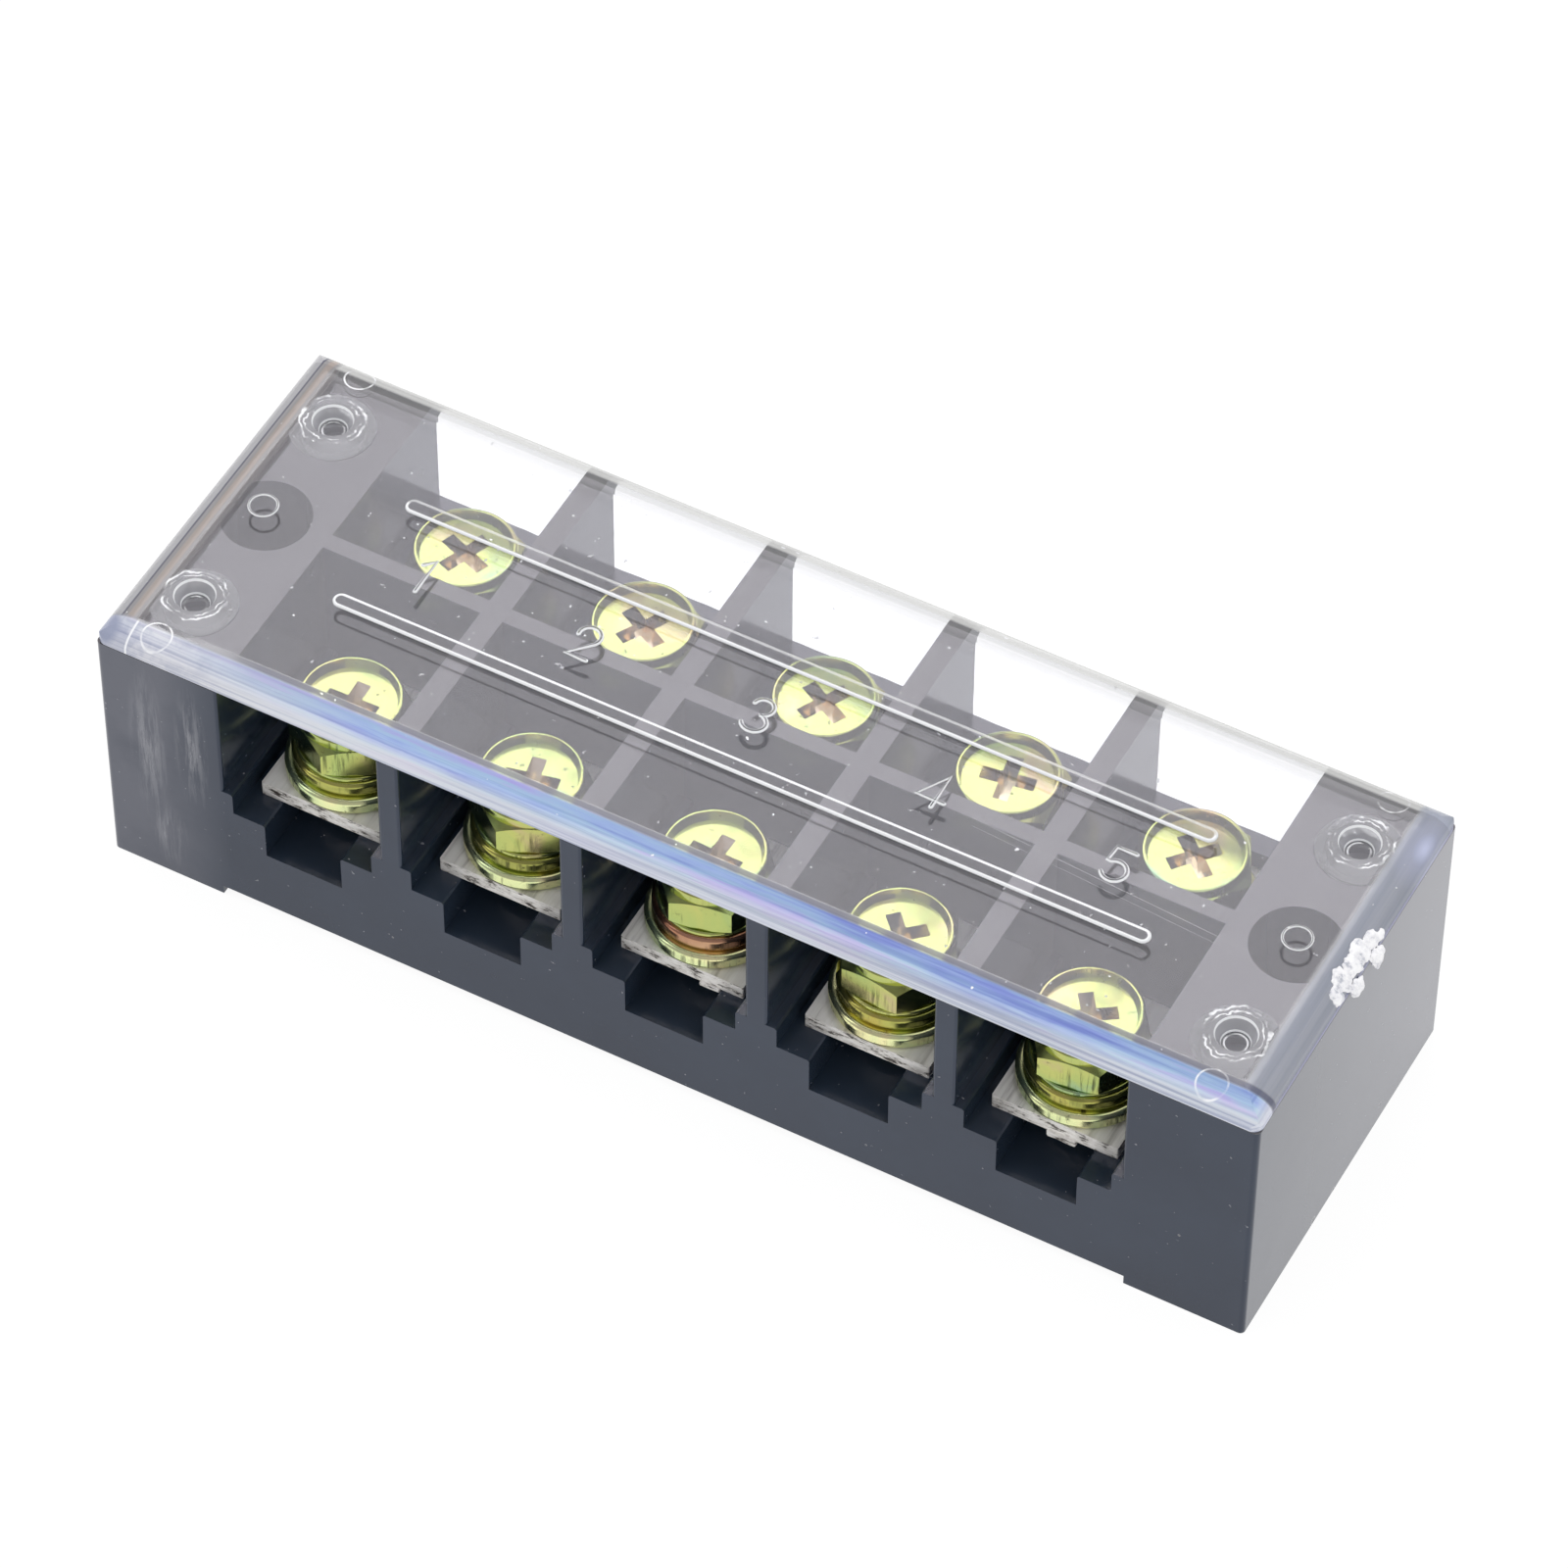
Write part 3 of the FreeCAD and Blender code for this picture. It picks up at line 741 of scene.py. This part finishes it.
def makeZinc(name, look, screw=False):
    mat, tree, shader, coords = startMaterial(name)
    plain = mapped(tree, coords)
    facing = axes(tree, coords.outputs["Normal"])
    place = axes(tree, coords.outputs["Object"])
    shader.inputs["Metallic"].default_value = 1.0
    tint = ramp(tree, noise(tree, plain, look["scale"], **zincLook["tint"]), look["stops"])
    # dark upright streaks on the sides, small stains everywhere
    side = spread(tree, unsigned(tree, facing["Z"]), 1.0, 0.0, *zincLook["sideFacing"])
    drag = drawn(tree, coords, zincLook["drag"])
    where = patchy(tree, plain, zincLook["dragPatches"])
    stains = patchy(tree, plain, zincLook["stains"])
    dirty = most(tree, times(tree, side, drag, where), stains)
    color = blendColor(tree, dirty, tint, zincLook["grime"])
    if screw:
        # painted shade: the cross recess is tinted brown for the shading in its depth
        color = blendColor(tree, recessMask(tree, place), color, zincLook["recess"]["color"])
    tree.links.new(color, shader.inputs["Base Color"])
    grain = noise(tree, plain, *zincLook["grain"])
    rough = spread(tree, grain, *look["rough"])
    rough = plus(tree, rough, times(tree, dirty, zincLook["grimeRough"]))
    tree.links.new(rough, shader.inputs["Roughness"])
    finish = bumpFrom(tree, grain, *zincLook["grainBump"])
    if screw:
        # fine rings stand in for the thread on the smooth shank
        ridges = times(tree, place["Z"], 2 * math.pi / mm(zincLook["threadPitch"]))
        ridges = maths(tree, "SINE", ridges)
        shank = below(tree, place["Z"], mm(zincLook["threadTop"]))
        ridges = times(tree, ridges, shank)
        finish = bumpFrom(tree, ridges, *zincLook["threadBump"], finish)
    tree.links.new(finish, shader.inputs["Normal"])
    return mat


plateLook = {
    "top": [(0.32, (0.50, 0.48, 0.46)), (0.46, (0.86, 0.84, 0.81)), (0.66, (1.0, 0.985, 0.96))],
    "sheared": [(0.40, (0.07, 0.06, 0.05)), (0.46, (0.78, 0.75, 0.70)), (0.56, (1.0, 0.98, 0.94))],
    "metallic": 0.35,
    "rough": (0.30, 0.5),
    "along": ((900, 60, 1800), 4, 0.6),
    "alongBump": (0.25, 0.1),
    "tear": ((420, 420, 1500), 5, 0.7),
    "tearBump": (0.7, 0.4),
    "edgeFacing": (0.3, 0.6),
}


def makePlateMetal():
    mat, tree, shader, coords = startMaterial("plateNickel")
    shader.inputs["Metallic"].default_value = plateLook["metallic"]
    facing = axes(tree, coords.outputs["Normal"])
    # brushed on the flat, torn and dark where the plate was sheared off
    along = streaks(tree, coords, *plateLook["along"])
    tear = streaks(tree, coords, *plateLook["tear"])
    top = ramp(tree, along, plateLook["top"])
    edge = ramp(tree, tear, plateLook["sheared"])
    onEdge = spread(tree, unsigned(tree, facing["Z"]), 1.0, 0.0, *plateLook["edgeFacing"])
    tree.links.new(blendColor(tree, onEdge, top, edge), shader.inputs["Base Color"])
    tree.links.new(spread(tree, along, *plateLook["rough"]), shader.inputs["Roughness"])
    brushed = bumpFrom(tree, along, *plateLook["alongBump"])
    torn = bumpFrom(tree, times(tree, tear, onEdge), *plateLook["tearBump"], brushed)
    tree.links.new(torn, shader.inputs["Normal"])
    return mat


tornLook = {
    # middle, size and lean in degrees of each lump
    "lumps": [
        ((67.45, -4.4, 34.95), (0.9, 1.1, 0.40), 42),
        ((67.15, -2.5, 35.2), (1.2, 1.4, 0.42), 38),
        ((67.2, -0.3, 35.2), (1.15, 1.3, 0.42), 38),
        ((67.15, 1.9, 35.2), (1.2, 1.4, 0.42), 38),
        ((67.3, 3.9, 35.1), (1.0, 1.3, 0.42), 40),
        ((67.7, 5.3, 34.6), (0.6, 0.7, 0.36), 55),
        ((68.4, 3.1, 34.0), (1.1, 1.3, 0.50), 75),
        ((68.4, -1.3, 34.0), (1.0, 1.2, 0.50), 75),
    ],
    "swell": 0.42,
    "coarse": 900,
    "fine": 2400,
    # painted shadow in the gaps beside the lumps
    "gaps": [
        ((68.3, 4.9, 33.9), (0.7, 0.55, 0.7)),
        ((68.3, 1.0, 33.9), (0.7, 0.5, 0.7)),
        ((68.2, -4.0, 33.9), (0.8, 0.6, 0.8)),
    ],
    "gapSoft": 0.5,
    "gapShadow": (0.03, 0.03, 0.04),
    "crumbs": [(0.34, (0.50, 0.52, 0.58)), (0.44, (0.84, 0.84, 0.87)), (0.56, (0.98, 0.98, 0.99))],
    "crumbNoise": (900, 4, 0.65),
    "crumbBump": (0.7, 0.2),
    "rough": (0.35, 0.7),
}


def makeTornPlastic():
    mat, tree, shader, coords = startMaterial("tornPlastic")
    crumbs = noise(tree, mapped(tree, coords), *tornLook["crumbNoise"])
    color = ramp(tree, crumbs, tornLook["crumbs"])
    # painted shadow: dark spots in the gaps between the lumps and the housing
    soft = tornLook["gapSoft"]
    gaps = most(tree, *[spot(tree, coords, *item, soft) for item in tornLook["gaps"]])
    color = blendColor(tree, gaps, color, tornLook["gapShadow"])
    tree.links.new(color, shader.inputs["Base Color"])
    tree.links.new(spread(tree, crumbs, *tornLook["rough"]), shader.inputs["Roughness"])
    tree.links.new(bumpFrom(tree, crumbs, *tornLook["crumbBump"]), shader.inputs["Normal"])
    return mat


housingGloss = makeHousingPlastic()
coverClear = makeCoverPlastic()
tornPlastic = makeTornPlastic()
screwZinc = makeZinc("screwZinc", zincLook["screw"], True)
springZinc = makeZinc("springZinc", zincLook["spring"])
springCopper = makeZinc("springCopper", zincLook["copper"])
washerZinc = makeZinc("washerZinc", zincLook["washer"])
plateNickel = makePlateMetal()


def dress(node, mat):
    piece = nodes[node]
    piece.data.materials.clear()
    piece.data.materials.append(mat)


dress("base_housing", housingGloss)
dress("clear_cover", coverClear)
for pole in range(1, poleCount + 1):
    dress("terminal_plate_%d" % pole, plateNickel)
    for row in ("front", "rear"):
        dress("%s_screw_%d" % (row, pole), screwZinc)
        dress("%s_spring_washer_%d" % (row, pole), springZinc)
        dress("%s_flat_washer_%d" % (row, pole), washerZinc)
dress("front_spring_washer_3", springCopper)
print("materials on the CAD pieces")


def finishPiece(piece, name, body, mat, smooth=40):
    settle(piece)
    piece.name = name
    piece.data.name = name
    piece.data.materials.clear()
    piece.data.materials.append(mat)
    onlySelect(piece)
    bpy.ops.object.shade_smooth_by_angle(angle=math.radians(smooth))
    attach(piece, body)
    return piece


def keepAbove(piece, height):
    # cut away what lies under the given height, so the piece stays open below
    onlySelect(piece)
    bpy.ops.object.mode_set(mode="EDIT")
    bpy.ops.mesh.select_all(action="SELECT")
    bpy.ops.mesh.bisect(plane_co=(0, 0, height), plane_no=(0, 0, 1), clear_inner=True)
    bpy.ops.object.mode_set(mode="OBJECT")


coverTop = mm(36.0)

digitLook = {
    "centers": [(-41.1, -0.4), (-21.8, -0.4), (-1.1, -0.4), (19.6, -0.4), (40.6, -0.4)],
    "halfStroke": 0.27,
    "rise": 0.22,
    "sink": 0.02,
    "roundness": 3,
    "arcSteps": 18,
    # where a stroke narrows past its end and how wide it still is, as shares
    "tips": [(0.55, 0.85), (0.9, 0.35)],
}

# strokes in mm from the middle of each digit: corner points,
# or arcs as (x, y, radius x, radius y, from angle, to angle)
digitStrokes = [
    [[(-0.95, 1.3), (0.12, 2.35), (0.12, -2.3)]],
    [[(0.0, 1.05, 1.25, 1.25, 190, -35), (-1.15, -2.1), (1.3, -2.1)]],
    [[(-0.05, 1.15, 1.15, 1.1, 170, -80), (0.0, -1.1, 1.35, 1.2, 85, -155)]],
    [[(0.68, -2.35), (0.68, 2.1), (-1.5, -1.4), (1.7, -1.4)]],
    [[(1.2, 2.1), (-1.05, 2.1), (-1.2, 0.15), (0.05, -0.9, 1.35, 1.35, 130, -150)]],
]


def strokePoints(stroke):
    points = []
    for item in stroke:
        if len(item) == 2:
            points.append(item)
            continue
        x, y, wide, tall, start, end = item
        steps = digitLook["arcSteps"]
        for step in range(steps + 1):
            angle = math.radians(start + (end - start) * step / steps)
            points.append((x + wide * math.cos(angle), y + tall * math.sin(angle)))
    return points


def roundEnds(points, radius):
    # short extra points past both ends, where the bead of plastic narrows
    ends = []
    for near, far in ((points[0], points[1]), (points[-1], points[-2])):
        away = (Vector(near) - Vector(far)).normalized()
        tips = [(Vector(near) + away * radius * reach, width) for reach, width in digitLook["tips"]]
        ends.append(tips)
    middle = [(Vector(point), 1.0) for point in points]
    return ends[0][::-1] + middle + ends[1]


def makeDigit(number):
    dropSelection()
    line = bpy.data.curves.new("digit", "CURVE")
    line.dimensions = "3D"
    line.bevel_depth = mm(digitLook["halfStroke"])
    line.bevel_resolution = digitLook["roundness"]
    line.use_fill_caps = True
    for stroke in digitStrokes[number - 1]:
        shaped = roundEnds(strokePoints(stroke), digitLook["halfStroke"])
        spline = line.splines.new("POLY")
        spline.points.add(len(shaped) - 1)
        for point, (place, radius) in zip(spline.points, shaped):
            point.co = (mm(place.x), mm(place.y), 0, 1)
            point.radius = radius
    digit = bpy.data.objects.new("digit", line)
    bpy.context.scene.collection.objects.link(digit)
    onlySelect(digit)
    bpy.ops.object.convert(target="MESH")
    digit = bpy.context.object
    digit.scale.z = (digitLook["rise"] + digitLook["sink"]) / digitLook["halfStroke"]
    x, y = digitLook["centers"][number - 1]
    foot = coverTop - mm(digitLook["sink"])
    digit.location = (mm(x), mm(y), foot)
    settle(digit)
    keepAbove(digit, foot)
    return finishPiece(digit, "cover_digit_%d" % number, "cover", coverClear)


for number in range(1, poleCount + 1):
    makeDigit(number)
print("digits on the cover")


ringLook = {
    "centers": [(-61.2, 0.1), (60.95, -0.2)],
    "radius": 1.55,
    "halfThick": 0.16,
    "sink": 0.02,
    "segments": (48, 12),
}


def makeGateRings():
    foot = coverTop - mm(ringLook["sink"])
    around, across = ringLook["segments"]
    for index, (x, y) in enumerate(ringLook["centers"]):
        dropSelection()
        bpy.ops.mesh.primitive_torus_add(
            location=(mm(x), mm(y), foot),
            major_radius=mm(ringLook["radius"]),
            minor_radius=mm(ringLook["halfThick"]),
            major_segments=around,
            minor_segments=across,
        )
        ring = settle(bpy.context.object)
        keepAbove(ring, foot)
        name = "cover_gate_ring_%d" % (index + 1)
        finishPiece(ring, name, "cover", coverClear)


makeGateRings()


def makeTornGate():
    # rough lumps where the moulding was broken off its feed
    lumps = []
    for center, size, lean in tornLook["lumps"]:
        dropSelection()
        bpy.ops.mesh.primitive_ico_sphere_add(subdivisions=4, radius=1.0, location=mmPoint(center))
        lump = bpy.context.object
        lump.scale = mmPoint(size)
        lump.rotation_euler = (0, math.radians(lean), 0)
        settle(lump)
        middle = Vector(center) / 1000
        for vertex in lump.data.vertices:
            away = vertex.co - middle
            swell = lumpy.noise(vertex.co * tornLook["coarse"])
            swell += 0.5 * lumpy.noise(vertex.co * tornLook["fine"])
            vertex.co += away * tornLook["swell"] * swell
        lumps.append(lump)
    dropSelection()
    for lump in lumps:
        lump.select_set(True)
    bpy.context.view_layer.objects.active = lumps[0]
    bpy.ops.object.join()
    finishPiece(lumps[0], "cover_torn_gate", "cover", tornPlastic, 25)


makeTornGate()


# each burr as (name, middle, size, seed)
burrLook = {
    "cuts": 5,
    "ragged": 0.15,
    "pieces": [
        ("plate_burr_5", (44.6, -19.15, 14.25), (3.4, 0.45, 0.75), 5),
        ("plate_burr_3", (3.4, -19.15, 14.35), (2.4, 0.4, 0.55), 9),
    ],
}


def makeBurrs():
    # torn metal hanging under the sheared front edge
    for name, middle, size, seed in burrLook["pieces"]:
        dropSelection()
        bpy.ops.mesh.primitive_cube_add(size=1, location=mmPoint(middle))
        burr = bpy.context.object
        burr.scale = mmPoint(size)
        settle(burr)
        bpy.ops.object.mode_set(mode="EDIT")
        bpy.ops.mesh.select_all(action="SELECT")
        bpy.ops.mesh.subdivide(number_cuts=burrLook["cuts"])
        bpy.ops.transform.vertex_random(offset=mm(burrLook["ragged"]), seed=seed)
        bpy.ops.mesh.vertices_smooth(factor=0.5, repeat=2)
        bpy.ops.object.mode_set(mode="OBJECT")
        finishPiece(burr, name, "housing", plateNickel, 30)


makeBurrs()
print("gate rings, torn gate and burrs")


# angles in degrees, places in metres, and the sensor's width in mm
cameraLook = {
    "focalPixels": 8069.9,
    "framePixels": 1600,
    "sensor": 36.0,
    "clip": (0.01, 20),
    "yaw": 28.251,
    "down": 49.947,
    "roll": 0.35,
    "aim": (0.0, 0.022887, 0.0),
    "distance": 0.859916,
    "slideRight": -0.009332,
    "slideUp": 0.000837,
}


def placeCamera():
    yaw = math.radians(cameraLook["yaw"])
    down = math.radians(cameraLook["down"])
    roll = math.radians(cameraLook["roll"])
    aheadX, aheadY = -math.sin(yaw), math.cos(yaw)
    forward = Vector((aheadX * math.cos(down), aheadY * math.cos(down), -math.sin(down)))
    levelRight = Vector((math.cos(yaw), math.sin(yaw), 0))
    levelUp = levelRight.cross(forward)
    right = levelRight * math.cos(roll) + levelUp * math.sin(roll)
    up = levelUp * math.cos(roll) - levelRight * math.sin(roll)
    place = Vector(cameraLook["aim"]) - forward * cameraLook["distance"]
    place += right * cameraLook["slideRight"] + up * cameraLook["slideUp"]
    data = bpy.data.cameras.new("photoCamera")
    data.lens = cameraLook["sensor"] * cameraLook["focalPixels"] / cameraLook["framePixels"]
    data.sensor_width = cameraLook["sensor"]
    data.clip_start, data.clip_end = cameraLook["clip"]
    camera = bpy.data.objects.new("photoCamera", data)
    bpy.context.scene.collection.objects.link(camera)
    turn = Matrix((right, up, -forward)).transposed()
    camera.matrix_world = Matrix.Translation(place) @ turn.to_4x4()
    bpy.context.scene.camera = camera
    return camera


placeCamera()


floorLook = {
    "size": 3.0,
    "drop": 0.0002,
    "color": (0.86, 0.86, 0.86),
    "glow": (0.91, 0.91, 0.91),
    "faint": (0.14, 0.14, 0.14),
}


def makeFloor():
    dropSelection()
    bpy.ops.mesh.primitive_plane_add(size=floorLook["size"], location=(0, 0, -floorLook["drop"]))
    floor = bpy.context.object
    floor.name = "paleFloor"
    mat = bpy.data.materials.new("paleFloor")
    mat.use_nodes = True
    tree = mat.node_tree
    tree.nodes.clear()
    out = tree.nodes.new("ShaderNodeOutputMaterial")
    matte = tree.nodes.new("ShaderNodeBsdfDiffuse")
    matte.inputs["Color"].default_value = (*floorLook["color"], 1)
    # what is seen of it is white, and the shadow only dims it a little
    glow = tree.nodes.new("ShaderNodeEmission")
    glow.inputs["Color"].default_value = (*floorLook["glow"], 1)
    glow.inputs["Strength"].default_value = 1.0
    faint = tree.nodes.new("ShaderNodeBsdfDiffuse")
    faint.inputs["Color"].default_value = (*floorLook["faint"], 1)
    shown = tree.nodes.new("ShaderNodeAddShader")
    tree.links.new(glow.outputs[0], shown.inputs[0])
    tree.links.new(faint.outputs[0], shown.inputs[1])
    path = tree.nodes.new("ShaderNodeLightPath")
    kinds = ("Camera", "Transmission", "Glossy")
    seen = most(tree, *[path.outputs["Is %s Ray" % kind] for kind in kinds])
    mix = tree.nodes.new("ShaderNodeMixShader")
    tree.links.new(seen, mix.inputs["Fac"])
    tree.links.new(matte.outputs[0], mix.inputs[1])
    tree.links.new(shown.outputs[0], mix.inputs[2])
    tree.links.new(mix.outputs[0], out.inputs["Surface"])
    floor.data.materials.append(mat)


makeFloor()


worldLook = {"seen": 1.0, "light": 0.85, "mirrored": (0.43, 0.405, 0.46)}


def makeWorld():
    world = bpy.data.worlds.new("studio")
    bpy.context.scene.world = world
    world.use_nodes = True
    tree = world.node_tree
    tree.nodes.clear()
    out = tree.nodes.new("ShaderNodeOutputWorld")
    sky = tree.nodes.new("ShaderNodeBackground")
    path = tree.nodes.new("ShaderNodeLightPath")
    seen = most(tree, path.outputs["Is Camera Ray"], path.outputs["Is Transmission Ray"])
    # the room that the metal mirrors is dimmer than the white backdrop
    room = (worldLook["light"],) * 3
    lit = blendColor(tree, path.outputs["Is Glossy Ray"], room, worldLook["mirrored"])
    white = (worldLook["seen"],) * 3
    tree.links.new(blendColor(tree, seen, lit, white), sky.inputs["Color"])
    sky.inputs["Strength"].default_value = 1.0
    tree.links.new(sky.outputs[0], out.inputs["Surface"])


makeWorld()


# the rear lamp gives the cover its sheen, and the other two fill in from the front
lampLook = [
    {
        "name": "rearSheen",
        "place": (-0.274, 0.510, 0.690),
        "size": (0.60, 0.45),
        "power": 1.45,
        "color": (0.96, 0.935, 1.0),
    },
    {
        "name": "leftFill",
        "place": (-0.70, -0.35, 0.60),
        "size": (0.50, 0.50),
        "power": 1.1,
        "color": (1.0, 1.0, 1.0),
    },
    {
        "name": "rightFill",
        "place": (0.70, -0.25, 0.55),
        "size": (0.40, 0.40),
        "power": 0.8,
        "color": (1.0, 1.0, 1.0),
    },
]


def makeLamps():
    for look in lampLook:
        data = bpy.data.lights.new(look["name"], "AREA")
        data.shape = "RECTANGLE"
        data.size, data.size_y = look["size"]
        data.energy = look["power"]
        data.color = look["color"]
        lamp = bpy.data.objects.new(look["name"], data)
        bpy.context.scene.collection.objects.link(lamp)
        place = Vector(look["place"])
        lamp.location = place
        lamp.rotation_mode = "QUATERNION"
        lamp.rotation_quaternion = (-place).to_track_quat("-Z", "Y")


makeLamps()
bpy.context.scene.view_settings.view_transform = "Standard"
print("camera, floor and lamps in place")
